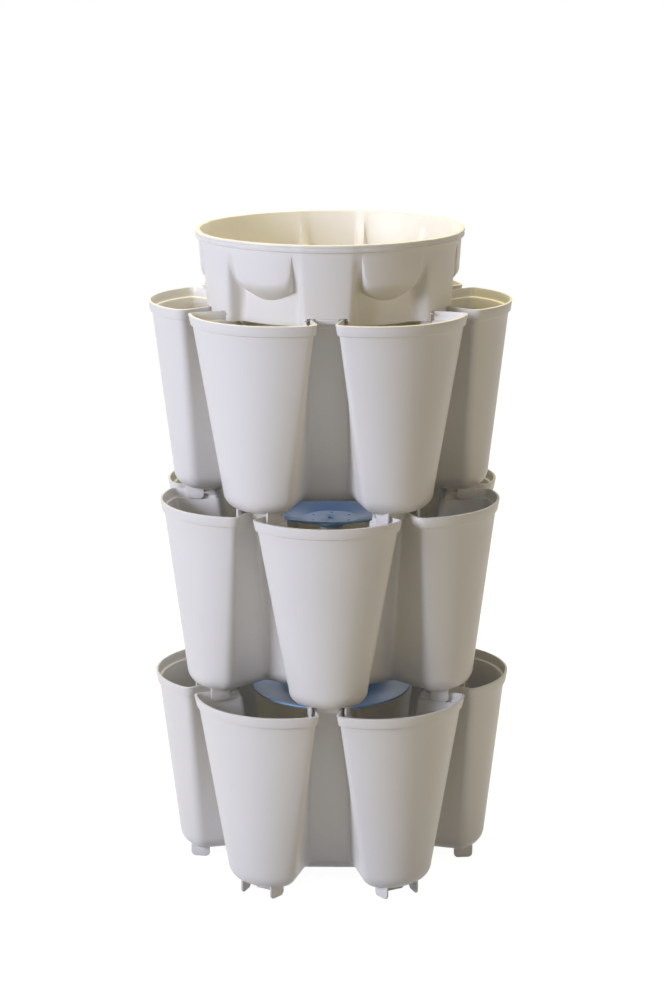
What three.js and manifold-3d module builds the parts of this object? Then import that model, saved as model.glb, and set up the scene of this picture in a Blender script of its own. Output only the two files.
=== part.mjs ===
// Vertical planter tower: three stacked tiers of six open pockets, a watering
// disk between each two tiers, and a water reservoir on the top tier.
// Millimetres, +Z up, the front towards -Y. The origin is under the middle of
// the tower, on the surface that its feet stand on.

import * as THREE from 'three';
import { mergeVertices } from 'three/addons/utils/BufferGeometryUtils.js';
import Module from 'manifold-3d';

const wasm = await Module();
wasm.setup();

const UP = new THREE.Vector3(0, 0, 1);
const cutOverrun = 1;

// Whole tower
const pocketCount = 6;
const pocketPitch = (2 * Math.PI) / pocketCount;
const seatGap = 0.3;
const sideClearance = 1;

// Tier: heights are taken from the flat underside of its pockets
const tierHeight = 244.35;
const tierWall = 3;
const bottomRound = 23;
const bandDepth = 14;
const bandProud = 2.5;
const bandFlare = 0.5;
const bandStep = 1.2;

// Outline of the drafted tier wall at the plane of the rim, without the band
const rimOutline = {
  front: 230.5,
  frontRadius: 113.5,
  halfWidth: 91.6,
  cornerCut: 8,
  valleyRadius: 148,
  valleyHalfWidth: 23,
  valleyCut: 5,
};

// The same outline at the foot of the drafted wall, where the rounding starts
const footOutline = {
  front: 205,
  frontRadius: 60,
  halfWidth: 51.5,
  cornerCut: 8,
  valleyRadius: 116,
  valleyHalfWidth: 27,
  valleyCut: 6,
};

// Feet under each pocket: two legs that straddle a valley of the tier below, and a
// web between them that rests on its rim and hangs a tongue into its mouth
const footDrop = 14.3;
const footWall = 3;
const seatDrop = 3;
const legReach = 189;
const legLength = 22;
const legRound = 6;
const webTongueHalfWidth = 16;
const webTongueDrop = 11.5;
const webTongueLean = 3;

// Column in the middle of a tier, which carries the watering disk. The floor rises
// to it, so that water runs to the drain holes.
const floorRise = 2;
const hubRise = 0.5;
const columnFootRadius = 20;
const columnTopRadius = 13.5;
const columnWall = 2.5;
const columnHoleRadius = 4;
const columnSidesPerPocket = 4;

// Drain hole in the floor of each pocket
const drainRadius = 4;
const drainReach = 128;
const holeSides = 6;

// Watering disk: a dish on the column, its rim below the rim of the tier
const diskDrop = 22;
const diskRadius = 104;
const diskFlatRadius = 36;
const dishDepth = 20;
const diskWall = 2.5;
const diskSegments = 36;
const socketDepth = 8;
const socketWall = 2.5;
const socketClearance = 0.5;
const weepRadius = 2;
const weepCircle = 27;
const weepCount = 6;

// Reservoir: heights are taken from the rim of the tier that it stands on
const bowlHeight = 92;
const bowlWall = 3;
const beadDepth = 9.3;
const beadProud = 3.6;
const lobeSeat = 16;
const lobeFlare = 6;
const lobeHalfWidth = 32;
const lobeRootHalfWidth = 34;
const lobeCornerCut = 7;
const recessTopDepth = 1.5;
const bulgeFoot = 17;
const bulgeTop = 76;
const panelRadius = 146;
const pedestalRadius = 117;
const pedestalDrop = 32;
const pedestalRound = 9;
const tongueHalfWidth = 14.5;
const tongueDrop = 6;
const tongueWall = 4;
const tongueRound = 4;
const skirtDrop = 12;
const skirtWall = 3;
const dripRadius = 2.5;
const dripCircle = 45;
const dripCount = 6;

// Shares of the recess's depth under the bulge, at shares of the bulge's height:
// in the middle of the recess, and at its ends beside the lobes
const bulgeShares = [
  { height: 0, depth: 1, endDepth: 1 },
  { height: 0.1, depth: 0.43, endDepth: 1 },
  { height: 0.3, depth: 0.11, endDepth: 1 },
  { height: 0.7, depth: 0, endDepth: 0.9 },
  { height: 1, depth: 0, endDepth: 0.15 },
];
// How much of its corner's roundness the wall keeps at the edge of the flat floor
const floorCornerShare = 0.5;
// The hub of the floor, as a share of the way out to the throats of the pockets, and
// its sides under a pocket as a share of the throat's width
const hubShare = 0.9;
const throatShare = 0.66;
const legTopShares = [1, 0.8, 0.6, 0.4, 0.2, 0];
const webTopShares = [1, 0.8, 0.6, -0.6, -0.8, -1];
const arcShares = [1 / 7, 3 / 7, 5 / 7];
const lobeFaceShare = 1 / 3;
const middleShare = 0.5;
const recessShare = 0.4;
const cutDepthShare = 1 / 3;
const roundTurns = [0, Math.PI / 6, Math.PI / 3, Math.PI / 2];
const innerRoundTurns = [Math.PI / 2, 0];

const tierPitch = tierHeight + seatDrop + seatGap;
const webPlace = legReach - legLength;
const wallFoot = bottomRound;
const wallTop = tierHeight - bandDepth;
const columnHeight = tierHeight - diskDrop - dishDepth - diskWall - seatGap;
const lobeFootRadius = rimOutline.valleyRadius + lobeSeat;
const lobeTopRadius = lobeFootRadius + lobeFlare;

// Materials
const stonePlastic = () => new THREE.MeshStandardMaterial({
  color: '#d9d4c8',
  roughness: 0.42,
  metalness: 0,
});
const bluePlastic = () => new THREE.MeshStandardMaterial({
  color: '#6f8fa6',
  roughness: 0.3,
  metalness: 0,
});

// Solids and booleans

function solidOf(geometry) {
  const bare = geometry.clone();
  bare.deleteAttribute('normal');
  bare.deleteAttribute('uv');
  const merged = mergeVertices(bare);
  return new wasm.Manifold(new wasm.Mesh({
    numProp: 3,
    vertProperties: new Float32Array(merged.attributes.position.array),
    triVerts: new Uint32Array(merged.index.array),
  }));
}

function geometryOf(solid) {
  const mesh = solid.getMesh();
  const geometry = new THREE.BufferGeometry();
  geometry.setAttribute('position', new THREE.BufferAttribute(mesh.vertProperties, 3));
  geometry.setIndex(new THREE.BufferAttribute(mesh.triVerts, 1));
  geometry.computeVertexNormals();
  return geometry;
}

// Shares of the way round the axis at which a ring's points come: by their count
// where two rings match point for point, otherwise by their own directions
function sharesRound(points, matched) {
  const start = -pocketPitch / 2;
  const shares = points.map((point, index) => {
    const turn = THREE.MathUtils.euclideanModulo(Math.atan2(point.x, -point.y) - start, 2 * Math.PI);
    return matched ? index / points.length : turn / (2 * Math.PI);
  });
  return [...shares, 1];
}

// The triangles between two rings of points about the axis, which may differ in
// count. Rising and falling strips share their diagonal, so a wall keeps its
// thickness where it twists.
function strip(first, second, firstStart, secondStart) {
  const triangles = [];
  const falling = second[0].z < first[0].z;
  const matched = first.length === second.length;
  const firstShares = sharesRound(first, matched);
  const secondShares = sharesRound(second, matched);
  let i = 0;
  let j = 0;
  while (i < first.length || j < second.length) {
    const firstShare = i < first.length ? firstShares[i + 1] : Infinity;
    const secondShare = j < second.length ? secondShares[j + 1] : Infinity;
    const here = firstStart + (i % first.length);
    const above = secondStart + (j % second.length);
    if (firstShare < secondShare || (firstShare === secondShare && !falling)) {
      i += 1;
      triangles.push(here, firstStart + (i % first.length), above);
    } else {
      j += 1;
      triangles.push(here, secondStart + (j % second.length), above);
    }
  }
  return triangles;
}

// A closed body from rings: each is joined to the next, and the last to the
// first where the body goes round a bore. Otherwise a fan closes each end.
function loft(rings, bored) {
  const positions = rings.flat().flatMap((point) => [point.x, point.y, point.z]);
  const starts = [];
  let count = 0;
  for (const points of rings) {
    starts.push(count);
    count += points.length;
  }
  const triangles = [];
  rings.forEach((points, level) => {
    const next = (level + 1) % rings.length;
    if (next > 0 || bored) {
      triangles.push(...strip(points, rings[next], starts[level], starts[next]));
    }
  });
  if (!bored) {
    const last = rings.length - 1;
    positions.push(0, 0, rings[0][0].z, 0, 0, rings[last][0].z);
    rings[0].forEach((point, index) => {
      triangles.push(count, (index + 1) % rings[0].length, index);
    });
    rings[last].forEach((point, index) => {
      const next = (index + 1) % rings[last].length;
      triangles.push(count + 1, starts[last] + index, starts[last] + next);
    });
  }
  const geometry = new THREE.BufferGeometry();
  geometry.setAttribute('position', new THREE.Float32BufferAttribute(positions, 3));
  geometry.setIndex(triangles);
  return geometry;
}

// A plate: an outline in a vertical plane, made thick along its normal
function plate(outlinePoints, thickness) {
  const shape = new THREE.Shape(outlinePoints);
  const geometry = new THREE.ExtrudeGeometry(shape, { depth: thickness, bevelEnabled: false });
  return geometry.translate(0, 0, -thickness / 2).rotateX(Math.PI / 2);
}

function lathed(profile, segments) {
  const points = profile.map(([radius, height]) => new THREE.Vector2(radius, height));
  return solidOf(new THREE.LatheGeometry(points, segments).rotateX(Math.PI / 2));
}

function pin(radius, low, high, sides) {
  const geometry = new THREE.CylinderGeometry(radius, radius, high - low, sides).rotateY(Math.PI / sides);
  return geometry.rotateX(Math.PI / 2).translate(0, 0, (low + high) / 2);
}

// Outlines. One half runs from beside the middle of a pocket or lobe, across in x
// and outwards in y, to the last point before the middle of the valley or recess.

function towards(from, to, distance) {
  return to.clone().sub(from).setLength(distance).add(from);
}

function bend(start, corner, end) {
  const curve = new THREE.QuadraticBezierCurve(start, corner, end);
  return curve.getPoint(middleShare);
}

// A point beside the line midway between two pockets, in a pocket's own frame
function besideValley(across, along) {
  const turn = pocketPitch / 2;
  return new THREE.Vector2(
    along * Math.sin(turn) - across * Math.cos(turn),
    along * Math.cos(turn) + across * Math.sin(turn),
  );
}

function tierSizes(height) {
  const share = (height - wallFoot) / (tierHeight - wallFoot);
  const sizes = {};
  for (const name of Object.keys(rimOutline)) {
    sizes[name] = THREE.MathUtils.lerp(footOutline[name], rimOutline[name], share);
  }
  return sizes;
}

// How far out a point or a way in a pocket's frame reaches along the valley
function alongValley(point) {
  const turn = pocketPitch / 2;
  return point.x * Math.sin(turn) + point.y * Math.cos(turn);
}

// The pocket wall's outline at a height, moved in by an inset for the rounding
// of the floor
function tierHalf(height, inset) {
  const size = tierSizes(height);
  const radius = size.frontRadius - inset;
  const arcMiddle = new THREE.Vector2(0, size.front - size.frontRadius);
  const onArc = (turn) => new THREE.Vector2(
    radius * Math.sin(turn),
    arcMiddle.y + radius * Math.cos(turn),
  );
  const firstTurn = Math.asin(size.halfWidth / size.frontRadius);
  const firstCorner = new THREE.Vector2(
    size.halfWidth,
    arcMiddle.y + size.frontRadius * Math.cos(firstTurn),
  );
  const heading = besideValley(size.valleyHalfWidth, size.valleyRadius).sub(firstCorner).normalize();
  const flank = firstCorner.add(new THREE.Vector2(heading.y, -heading.x).multiplyScalar(inset));
  const onFlank = (distance) => flank.clone().addScaledVector(heading, distance);
  const reach = flank.clone().sub(arcMiddle);
  const inwards = reach.dot(heading);
  const corner = onFlank(-inwards - Math.sqrt(inwards ** 2 - reach.lengthSq() + radius ** 2));
  const valleyRadius = size.valleyRadius - inset;
  const valleyCorner = onFlank((valleyRadius - alongValley(flank)) / alongValley(heading));
  const valleyMiddle = besideValley(0, valleyRadius);
  const cornerTurn = Math.atan2(corner.x, corner.y - arcMiddle.y);
  const cornerCut = size.cornerCut * THREE.MathUtils.lerp(1, floorCornerShare, inset / bottomRound);
  const arcEnd = cornerTurn - cornerCut / radius;
  const flankStart = towards(corner, valleyCorner, cornerCut);
  const flankEnd = towards(valleyCorner, corner, size.valleyCut);
  return [
    ...arcShares.map((share) => onArc(arcEnd * share)),
    onArc(arcEnd),
    bend(onArc(arcEnd), corner, flankStart),
    flankStart,
    flankEnd,
    towards(valleyCorner, valleyMiddle, size.valleyCut),
  ];
}

// Height of the reservoir wall above the tier rim gives the radius of its lobes
function lobeRadiusAt(height) {
  return THREE.MathUtils.mapLinear(height, 0, bowlHeight, lobeFootRadius, lobeTopRadius);
}

// A lobe's side runs from its face in to the end of the recess beside it
function bowlHalf(lobeRadius, endRadius, recessRadius) {
  const onCircle = (radius, turn) => new THREE.Vector2(
    radius * Math.sin(turn),
    radius * Math.cos(turn),
  );
  const depth = lobeRadius - endRadius;
  const rootShare = depth / (lobeRadius - panelRadius);
  const rootHalfWidth = THREE.MathUtils.lerp(lobeHalfWidth, lobeRootHalfWidth, rootShare);
  const lobeTurn = Math.asin(lobeHalfWidth / lobeRadius);
  const recessTurn = Math.asin(rootHalfWidth / endRadius);
  const outerCorner = onCircle(lobeRadius, lobeTurn);
  const innerCorner = onCircle(endRadius, recessTurn);
  const sideCut = Math.min(lobeCornerCut, depth * cutDepthShare);
  const faceTurn = lobeTurn - lobeCornerCut / lobeRadius;
  const outerStart = onCircle(lobeRadius, faceTurn);
  const outerEnd = towards(outerCorner, innerCorner, sideCut);
  const innerEnd = recessTurn + lobeCornerCut / endRadius;
  return [
    onCircle(lobeRadius, faceTurn * lobeFaceShare),
    outerStart,
    bend(outerStart, outerCorner, outerEnd),
    outerEnd,
    towards(innerCorner, outerCorner, sideCut),
    onCircle(endRadius, innerEnd),
    onCircle(recessRadius, THREE.MathUtils.lerp(innerEnd, pocketPitch / 2, recessShare)),
  ];
}

// The whole outline from one half, mirrored and repeated round the axis
function wholeOutline(half) {
  const mirrored = half.toReversed().map((point) => new THREE.Vector2(-point.x, point.y));
  const sector = [...mirrored, ...half];
  const outline = [];
  for (let index = 0; index < pocketCount; index += 1) {
    outline.push(...sector.map((point) => placed(point, index * pocketPitch)));
  }
  return outline;
}

// From a pocket's frame to the tower's: turn 0 looks to the front, towards -Y
function placed(point, turn) {
  return new THREE.Vector2(
    point.x * Math.cos(turn) + point.y * Math.sin(turn),
    point.x * Math.sin(turn) - point.y * Math.cos(turn),
  );
}

// Moves each point of a closed outline outwards, square to its two sides
function grown(outline, distance) {
  return outline.map((point, index) => {
    const before = outline[(index + outline.length - 1) % outline.length];
    const after = outline[(index + 1) % outline.length];
    const first = point.clone().sub(before).normalize();
    const second = after.clone().sub(point).normalize();
    const normal = new THREE.Vector2(first.y + second.y, -first.x - second.x).normalize();
    const lean = normal.x * first.y - normal.y * first.x;
    return point.clone().addScaledVector(normal, distance / lean);
  });
}

function circle(radius, height) {
  const side = pocketPitch / columnSidesPerPocket;
  const points = [];
  for (let index = 0; index < pocketCount * columnSidesPerPocket; index += 1) {
    const flat = placed(new THREE.Vector2(0, radius), (index + middleShare) * side - pocketPitch / 2);
    points.push(new THREE.Vector3(flat.x, flat.y, height));
  }
  return points;
}

function ring(half, distance, height) {
  const outline = grown(wholeOutline(half), distance);
  return outline.map((point) => new THREE.Vector3(point.x, point.y, height));
}

// Tier

// A ring of the tier's wall: its outline moved in by an inset, then outwards
function tierRing(height, inset, distance) {
  return ring(tierHalf(Math.max(height, wallFoot), inset), distance, height);
}

// A ring of the floor inside the throats where the pockets open into its middle. The
// sides under a pocket are narrower than its throat, so that the floor runs out through it.
function hubRing(height) {
  const half = tierHalf(wallFoot, bottomRound);
  const throat = half.length - 2;
  const hub = half.map((point, index) => {
    const place = half[Math.max(index, throat)].clone().multiplyScalar(hubShare);
    if (index <= throat) {
      place.x *= (throatShare * (index + middleShare)) / (throat + middleShare);
    }
    return place;
  });
  return ring(hub, 0, height);
}

// The shell goes over its rim, down to its floor and up over the column, whose
// bore opens at the underside
function tierShell() {
  const innerRound = bottomRound - tierWall;
  const wallMiddle = (wallFoot + wallTop) / 2;
  const boreTop = columnHeight - columnWall;
  const rings = [];
  for (const turn of roundTurns) {
    const height = bottomRound * (1 - Math.cos(turn));
    rings.push(tierRing(height, bottomRound * (1 - Math.sin(turn)), 0));
  }
  rings.push(tierRing(wallMiddle, 0, 0));
  rings.push(tierRing(wallTop, 0, 0));
  rings.push(tierRing(wallTop + bandStep, 0, bandProud));
  rings.push(tierRing(tierHeight, 0, bandProud + bandFlare));
  rings.push(tierRing(tierHeight, 0, bandProud + bandFlare - tierWall));
  rings.push(tierRing(wallTop - bandStep, 0, -tierWall));
  rings.push(tierRing(wallMiddle, 0, -tierWall));
  for (const turn of innerRoundTurns) {
    const height = tierWall + innerRound * (1 - Math.cos(turn));
    rings.push(tierRing(height, innerRound * (1 - Math.sin(turn)), -tierWall));
  }
  rings.push(hubRing(tierWall + hubRise));
  rings.push(circle(columnRadiusAt(tierWall), tierWall + floorRise));
  rings.push(circle(columnTopRadius, columnHeight));
  rings.push(circle(columnHoleRadius, columnHeight));
  rings.push(circle(columnHoleRadius, boreTop));
  rings.push(circle(columnRadiusAt(boreTop) - columnWall, boreTop));
  rings.push(circle(columnRadiusAt(0) - columnWall, floorRise));
  rings.push(hubRing(hubRise));
  return solidOf(loft(rings, true));
}

// Height of the tops of the feet at a point: inside the wall of the rounded floor
function footTopAt(point) {
  const half = tierHalf(wallFoot, 0).map(({ x, y }) => new THREE.Vector3(x, y, 0));
  const place = new THREE.Vector3(Math.abs(point.x), point.y, 0);
  const nearest = new THREE.Vector3();
  const insets = half.slice(1).map((end, index) => {
    new THREE.Line3(half[index], end).closestPointToPoint(place, true, nearest);
    return nearest.distanceTo(place);
  });
  const lean = Math.max(0, 1 - Math.min(...insets) / bottomRound);
  return bottomRound * (1 - Math.sqrt(1 - lean * lean)) + tierWall / 2;
}

// The wall of the tier below, at the depth that the feet reach into it
const belowSizes = tierSizes(tierPitch - footDrop);

// Half the width between the outside faces of the two walls of a valley below
function valleyGapAt(along) {
  const size = belowSizes;
  const corner = new THREE.Vector2(
    size.halfWidth,
    size.front - size.frontRadius + Math.sqrt(size.frontRadius ** 2 - size.halfWidth ** 2),
  );
  const turn = pocketPitch / 2;
  const cornerAlong = corner.x * Math.sin(turn) + corner.y * Math.cos(turn);
  const cornerAcross = corner.y * Math.sin(turn) - corner.x * Math.cos(turn);
  return THREE.MathUtils.mapLinear(
    along,
    size.valleyRadius,
    cornerAlong,
    size.valleyHalfWidth,
    cornerAcross,
  );
}

// How far out the middle of a leg stands from the middle of the valley
function legPlaceAt(along) {
  return valleyGapAt(along) + tierWall + sideClearance + footWall / 2;
}

// One leg, along the inside of a valley wall of the tier below
function footLeg(side) {
  const start = new THREE.Vector2(legPlaceAt(webPlace), webPlace - footWall);
  const end = new THREE.Vector2(legPlaceAt(legReach), legReach);
  const length = start.distanceTo(end);
  const outline = [
    new THREE.Vector2(0, legRound - footDrop),
    new THREE.Vector2(legRound * (1 - Math.SQRT1_2), legRound * (1 - Math.SQRT1_2) - footDrop),
    new THREE.Vector2(legRound, -footDrop),
    new THREE.Vector2(length - legRound, -footDrop),
    new THREE.Vector2(length - legRound * (1 - Math.SQRT1_2), legRound * (1 - Math.SQRT1_2) - footDrop),
    new THREE.Vector2(length, legRound - footDrop),
    ...legTopShares.map((share) => new THREE.Vector2(
      length * share,
      footTopAt(start.clone().lerp(end, share)),
    )),
  ];
  const heading = Math.atan2(end.y - start.y, end.x - start.x);
  const leg = plate(outline, footWall).rotateZ(heading).translate(start.x, start.y, 0);
  return side > 0 ? solidOf(leg) : solidOf(leg).mirror([1, 0, 0]);
}

function footWeb() {
  const halfWidth = legPlaceAt(webPlace);
  const tipHalfWidth = webTongueHalfWidth - webTongueLean;
  const outline = [
    new THREE.Vector2(-halfWidth, -seatDrop),
    new THREE.Vector2(-webTongueHalfWidth, -seatDrop),
    new THREE.Vector2(-tipHalfWidth, -webTongueDrop),
    new THREE.Vector2(tipHalfWidth, -webTongueDrop),
    new THREE.Vector2(webTongueHalfWidth, -seatDrop),
    new THREE.Vector2(halfWidth, -seatDrop),
    ...webTopShares.map((share) => new THREE.Vector2(
      halfWidth * share,
      footTopAt(new THREE.Vector2(halfWidth * share, webPlace)),
    )),
  ];
  return solidOf(plate(outline, footWall).translate(0, webPlace, 0));
}

// A solid made in a pocket's frame, copied under every pocket
function roundTheTower(solid, count) {
  const copies = [];
  for (let index = 0; index < count; index += 1) {
    const turn = (index * 2 * Math.PI) / count + Math.PI;
    copies.push(solid.rotate([0, 0, THREE.MathUtils.radToDeg(turn)]));
  }
  return wasm.Manifold.union(copies);
}

function columnRadiusAt(height) {
  return THREE.MathUtils.mapLinear(height, 0, columnHeight, columnFootRadius, columnTopRadius);
}

function tierSolid() {
  const foot = footWeb().add(footLeg(1)).add(footLeg(-1));
  const drain = solidOf(pin(drainRadius, -cutOverrun, tierWall + cutOverrun, holeSides)
    .translate(0, drainReach, 0));
  return tierShell()
    .add(roundTheTower(foot, pocketCount))
    .subtract(roundTheTower(drain, pocketCount));
}

// Watering disk: heights are taken from the flat underside of the dish

function diskSolid() {
  const rimHeight = dishDepth + diskWall;
  const socketInner = columnTopRadius + socketClearance + socketLead();
  const dish = lathed([
    [columnHoleRadius, 0],
    [socketInner, 0],
    [socketInner, -socketDepth],
    [socketInner + socketWall, -socketDepth],
    [socketInner + socketWall, 0],
    [diskFlatRadius, 0],
    [diskRadius, dishDepth],
    [diskRadius, rimHeight],
    [diskFlatRadius, diskWall],
    [columnHoleRadius, diskWall],
    [columnHoleRadius, 0],
  ], diskSegments);
  const weep = solidOf(pin(weepRadius, -cutOverrun, diskWall + cutOverrun, holeSides)
    .translate(0, weepCircle, 0));
  return dish.subtract(roundTheTower(weep, weepCount));
}

// The column widens downwards, so its socket is as much wider at its mouth
function socketLead() {
  return columnRadiusAt(columnHeight - socketDepth) - columnTopRadius;
}

// Reservoir

// A ring of the bowl's wall: the recess takes shares of its full depth
function bowlRing(height, distance, endShare, middleDepthShare) {
  const lobeRadius = lobeRadiusAt(height);
  const radiusAt = (share) => lobeRadius
    - THREE.MathUtils.lerp(recessTopDepth, lobeRadius - panelRadius, share);
  return ring(bowlHalf(lobeRadius, radiusAt(endShare), radiusAt(middleDepthShare)), distance, height);
}

// The bead and the rim stand out from the wall by as much all round
function beadRing(height, distance) {
  return bowlRing(height, 0, 0, 0).map((point) => {
    const flat = new THREE.Vector2(point.x, point.y);
    flat.setLength(flat.length() + distance);
    return new THREE.Vector3(flat.x, flat.y, height);
  });
}

// The pedestal is round, with a point below each point of the lobes
function pedestalRing(height, radius) {
  return bowlRing(seatGap, 0, 1, 1).map((point) => {
    const flat = new THREE.Vector2(point.x, point.y).setLength(radius);
    return new THREE.Vector3(flat.x, flat.y, height);
  });
}

// The wall's inside lies above its outside under the bulge, and inwards of it
function bulgeRings(distance) {
  return bulgeShares.map(({ height, depth, endDepth }) => bowlRing(
    THREE.MathUtils.lerp(bulgeFoot, bulgeTop, height) - distance,
    distance,
    endDepth,
    depth,
  ));
}

function bowlShell() {
  const beadFoot = bowlHeight - beadDepth;
  const pedestalFoot = pedestalRound - pedestalDrop;
  const rings = [
    pedestalRing(-pedestalDrop, pedestalRadius - pedestalRound),
    pedestalRing(pedestalFoot, pedestalRadius),
    pedestalRing(seatGap, pedestalRadius),
    bowlRing(seatGap, 0, 1, 1),
    ...bulgeRings(0),
    beadRing(beadFoot, 0),
    beadRing(beadFoot, beadProud),
    beadRing(bowlHeight, beadProud),
    beadRing(bowlHeight, -bowlWall),
    ...bulgeRings(-bowlWall).reverse(),
    bowlRing(seatGap + bowlWall, -bowlWall, 1, 1),
    pedestalRing(seatGap + bowlWall, pedestalRadius - bowlWall),
    pedestalRing(pedestalFoot, pedestalRadius - bowlWall),
    pedestalRing(bowlWall - pedestalDrop, pedestalRadius - pedestalRound),
  ];
  return solidOf(loft(rings, false));
}

// The tongue under a lobe hangs in the mouth of the valley below
function lobeTongue() {
  const top = seatGap + bowlWall / 2;
  const middle = lobeFootRadius - sideClearance - tongueWall / 2;
  const outline = [
    new THREE.Vector2(-tongueHalfWidth, top),
    new THREE.Vector2(-tongueHalfWidth, tongueRound - tongueDrop),
    new THREE.Vector2(tongueRound - tongueHalfWidth, -tongueDrop),
    new THREE.Vector2(tongueHalfWidth - tongueRound, -tongueDrop),
    new THREE.Vector2(tongueHalfWidth, tongueRound - tongueDrop),
    new THREE.Vector2(tongueHalfWidth, top),
  ];
  return solidOf(plate(outline, tongueWall).translate(0, middle, 0));
}

// The skirt under each corner of a lobe hangs inside the pocket beside the valley
function lobeSkirt(side) {
  const half = bowlHalf(lobeFootRadius, panelRadius, panelRadius)
    .map((point) => placed(point, Math.PI));
  const outer = grown(half, -sideClearance / 2);
  const inner = grown(half, -sideClearance / 2 - skirtWall);
  const path = [...outer.slice(1, -2), ...inner.slice(1, -2).reverse()];
  const height = skirtDrop + seatGap + bowlWall / 2;
  const shape = new THREE.Shape(path);
  const skirt = new THREE.ExtrudeGeometry(shape, { depth: height, bevelEnabled: false })
    .translate(0, 0, -skirtDrop);
  const start = legPlaceAt(lobeFootRadius - sideClearance - skirtWall) - footWall / 2;
  const left = solidOf(skirt).trimByPlane([-1, 0, 0], start);
  return side < 0 ? left : left.mirror([1, 0, 0]);
}

function bowlSolid() {
  const under = lobeTongue().add(lobeSkirt(1)).add(lobeSkirt(-1));
  const floor = -pedestalDrop;
  const drip = solidOf(pin(dripRadius, floor - cutOverrun, floor + bowlWall + cutOverrun, holeSides)
    .translate(0, dripCircle, 0));
  return bowlShell()
    .add(roundTheTower(under, pocketCount))
    .subtract(roundTheTower(drip, dripCount));
}

// Assembly, from the ground up

function piece(name, geometry, material, height, turn) {
  const mesh = new THREE.Mesh(geometry, material);
  mesh.name = name;
  mesh.position.set(0, 0, height);
  mesh.setRotationFromAxisAngle(UP, turn);
  return mesh;
}

const tower = new THREE.Group();
const tierGeometry = geometryOf(tierSolid());
const diskGeometry = geometryOf(diskSolid());
const tierNames = ['tier_bottom', 'tier_middle', 'tier_top'];
const diskNames = ['lower_watering_disk', 'upper_watering_disk'];

// Each tier is turned half a pocket from its neighbour, so that its pockets
// stand over the valleys of the tier below
tierNames.forEach((name, level) => {
  const turn = ((level + 1) % 2) * (pocketPitch / 2);
  tower.add(piece(name, tierGeometry, stonePlastic(), footDrop + level * tierPitch, turn));
});

diskNames.forEach((name, level) => {
  const height = footDrop + level * tierPitch + columnHeight + seatGap;
  tower.add(piece(name, diskGeometry, bluePlastic(), height, 0));
});

const reservoirHeight = footDrop + tierNames.length * tierPitch - seatDrop - seatGap;
tower.add(piece('water_reservoir', geometryOf(bowlSolid()), stonePlastic(), reservoirHeight, 0));

export default tower;
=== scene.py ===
"""Dresses the vertical planter tower: three stacked pocket tiers, two watering disks and a
water reservoir, as satin mouldings of one plastic and two glossy blue dishes."""

from math import asin, atan2, cos, pi, radians, sin, sqrt

import bmesh
import bpy
from mathutils import Matrix, Vector
from mathutils.geometry import intersect_point_line


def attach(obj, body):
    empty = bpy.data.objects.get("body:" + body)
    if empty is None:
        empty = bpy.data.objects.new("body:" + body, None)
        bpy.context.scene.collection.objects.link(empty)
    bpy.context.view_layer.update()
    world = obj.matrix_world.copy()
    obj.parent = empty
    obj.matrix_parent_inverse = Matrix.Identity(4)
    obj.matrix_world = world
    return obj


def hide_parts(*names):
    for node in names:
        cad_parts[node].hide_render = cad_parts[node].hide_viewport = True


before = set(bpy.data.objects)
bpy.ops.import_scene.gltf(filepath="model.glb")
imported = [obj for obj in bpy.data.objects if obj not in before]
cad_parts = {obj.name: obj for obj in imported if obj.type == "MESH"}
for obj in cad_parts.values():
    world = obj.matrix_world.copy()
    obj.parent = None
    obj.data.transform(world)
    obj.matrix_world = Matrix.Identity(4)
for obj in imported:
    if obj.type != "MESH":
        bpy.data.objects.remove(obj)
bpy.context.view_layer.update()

MM = 0.001
POCKETS = 6
PITCH = 2 * pi / POCKETS
HALF_PITCH = PITCH / 2
TIERS = ("tier_bottom", "tier_middle", "tier_top")
DISKS = ("lower_watering_disk", "upper_watering_disk")

# Tier, from the flat underside of its pockets
TIER_HEIGHT = 244.35 * MM
TIER_WALL = 3 * MM
BOTTOM_ROUND = 23 * MM
BAND_DEPTH = 14 * MM
BAND_PROUD = 2.5 * MM
BAND_FLARE = 0.5 * MM
BAND_STEP = 1.2 * MM
FOOT_DROP = 14.3 * MM
SEAT_DROP = 3 * MM
SEAT_GAP = 0.3 * MM
SIDE_CLEARANCE = 1 * MM
TIER_PITCH = TIER_HEIGHT + SEAT_DROP + SEAT_GAP
WALL_TOP = TIER_HEIGHT - BAND_DEPTH
RIM_OUTLINE = {
    "front": 230.5 * MM,
    "front_radius": 113.5 * MM,
    "half_width": 91.6 * MM,
    "corner_cut": 8 * MM,
    "valley_radius": 148 * MM,
    "valley_half_width": 23 * MM,
    "valley_cut": 5 * MM,
}
FOOT_OUTLINE = {
    "front": 205 * MM,
    "front_radius": 60 * MM,
    "half_width": 51.5 * MM,
    "corner_cut": 8 * MM,
    "valley_radius": 116 * MM,
    "valley_half_width": 27 * MM,
    "valley_cut": 6 * MM,
}

# Feet
FOOT_WALL = 3 * MM
LEG_REACH = 189 * MM
LEG_LENGTH = 22 * MM
LEG_ROUND = 6 * MM
WEB_PLACE = LEG_REACH - LEG_LENGTH
WEB_TONGUE_HALF_WIDTH = 16 * MM
WEB_TONGUE_DROP = 11.5 * MM
WEB_TONGUE_LEAN = 3 * MM

# Floor of a tier and the column that stands on it
FLOOR_CORNER_SHARE = 0.5
FLOOR_RISE = 2 * MM
HUB_RISE = 0.5 * MM
HUB_SHARE = 0.9
THROAT_SHARE = 0.66
DRAIN_RADIUS = 4 * MM
DRAIN_REACH = 128 * MM
COLUMN_FOOT_RADIUS = 20 * MM
COLUMN_TOP_RADIUS = 13.5 * MM
COLUMN_HOLE_RADIUS = 4 * MM

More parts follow.
